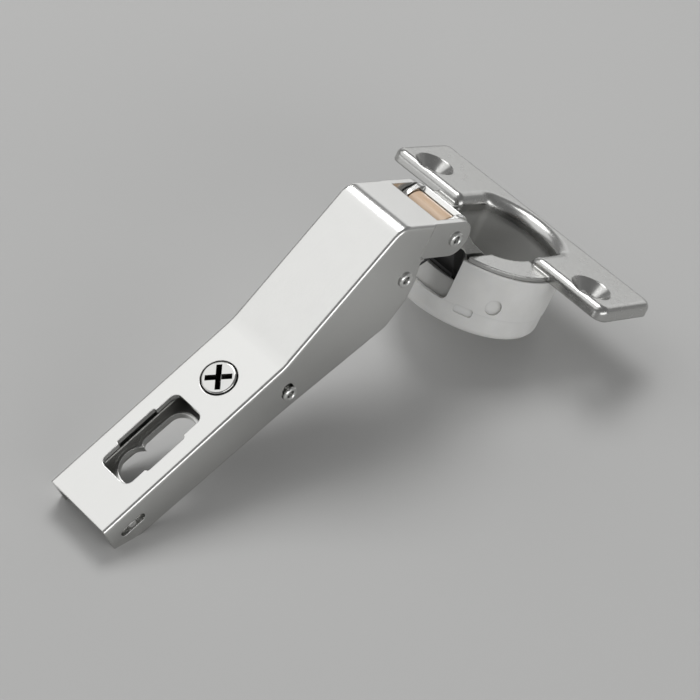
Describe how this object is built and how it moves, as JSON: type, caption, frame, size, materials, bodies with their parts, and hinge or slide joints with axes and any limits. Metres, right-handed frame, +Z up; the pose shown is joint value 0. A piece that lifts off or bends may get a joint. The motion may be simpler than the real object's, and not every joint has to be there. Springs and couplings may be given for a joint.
{
  "type": "concealed cabinet hinge",
  "caption": "Concealed cabinet hinge with a cranked channel arm, two links and a screwed flange cup in a round jacket, lying open on a bench.",
  "frame": {"origin": "centre of the bounding box on the bench", "axes": "+X along the pivots, +Y from the tip of the arm to the cup, +Z up from the bench"},
  "size_m": [0.064, 0.1256, 0.0465],
  "materials": {
    "nickel_plated_steel": "nickel-plated pressed sheet, satin",
    "nickel_plated_casting": "nickel-plated casting, satin",
    "phosphated_steel": "dark phosphated",
    "dark_spring_wire": "oil-hardened wire",
    "milky_nylon": "moulded, translucent",
    "tan_acetal": "moulded"
  },
  "bodies": {
    "arm": {"hinge_arm": "nickel_plated_steel", "outer_arm_pin": "nickel_plated_steel", "inner_arm_pin": "nickel_plated_steel", "link_sleeve": "tan_acetal", "closing_spring_right": "dark_spring_wire", "closing_spring_left": "dark_spring_wire"},
    "adapter": {"adapter_channel": "nickel_plated_steel", "adapter_front_pin": "nickel_plated_steel", "adapter_rear_pin": "nickel_plated_steel"},
    "overlay_screw": {"overlay_screw": "nickel_plated_steel"},
    "outer_link": {"outer_link": "nickel_plated_steel"},
    "cup": {"cup_body": "nickel_plated_casting", "cup_jacket": "milky_nylon", "inner_cup_pin": "nickel_plated_steel", "outer_cup_pin_right": "nickel_plated_steel", "outer_cup_pin_left": "nickel_plated_steel"},
    "inner_link": {"inner_link": "phosphated_steel"}
  },
  "joints": [
    {"name": "outer_link_swing", "type": "hinge", "parent": "arm", "child": "outer_link", "pos_m": [0, 0.02465, 0.03586], "axis": [1, 0, 0], "range_deg": [-43.5, 0]},
    {"name": "door_swing", "type": "hinge", "parent": "outer_link", "child": "cup", "pos_m": [0, 0.03519, 0.02187], "axis": [1, 0, 0], "range_deg": [0, 137.5]},
    {"name": "inner_link_swing", "type": "hinge", "parent": "cup", "child": "inner_link", "pos_m": [0, 0.03142, 0.01892], "axis": [1, 0, 0], "range_deg": [-112.1, 0]},
    {"name": "adapter_tilt", "type": "hinge", "parent": "arm", "child": "adapter", "pos_m": [0, -0.05564, 0.00405], "axis": [1, 0, 0], "range_deg": [0, 2.2]},
    {"name": "overlay_screw_turn", "type": "hinge", "parent": "adapter", "child": "overlay_screw", "pos_m": [0, -0.02882, 0.02134], "axis": [0, -0.4008, 0.9162], "range_deg": [0, 435.4]}
  ],
  "couplings": [
    {"joint": "outer_link_swing", "follows": "door_swing", "ratio": -0.31636},
    {"joint": "inner_link_swing", "follows": "door_swing", "ratio": -0.81527},
    {"joint": "adapter_tilt", "follows": "overlay_screw_turn", "ratio": 0.0050528}
  ]
}
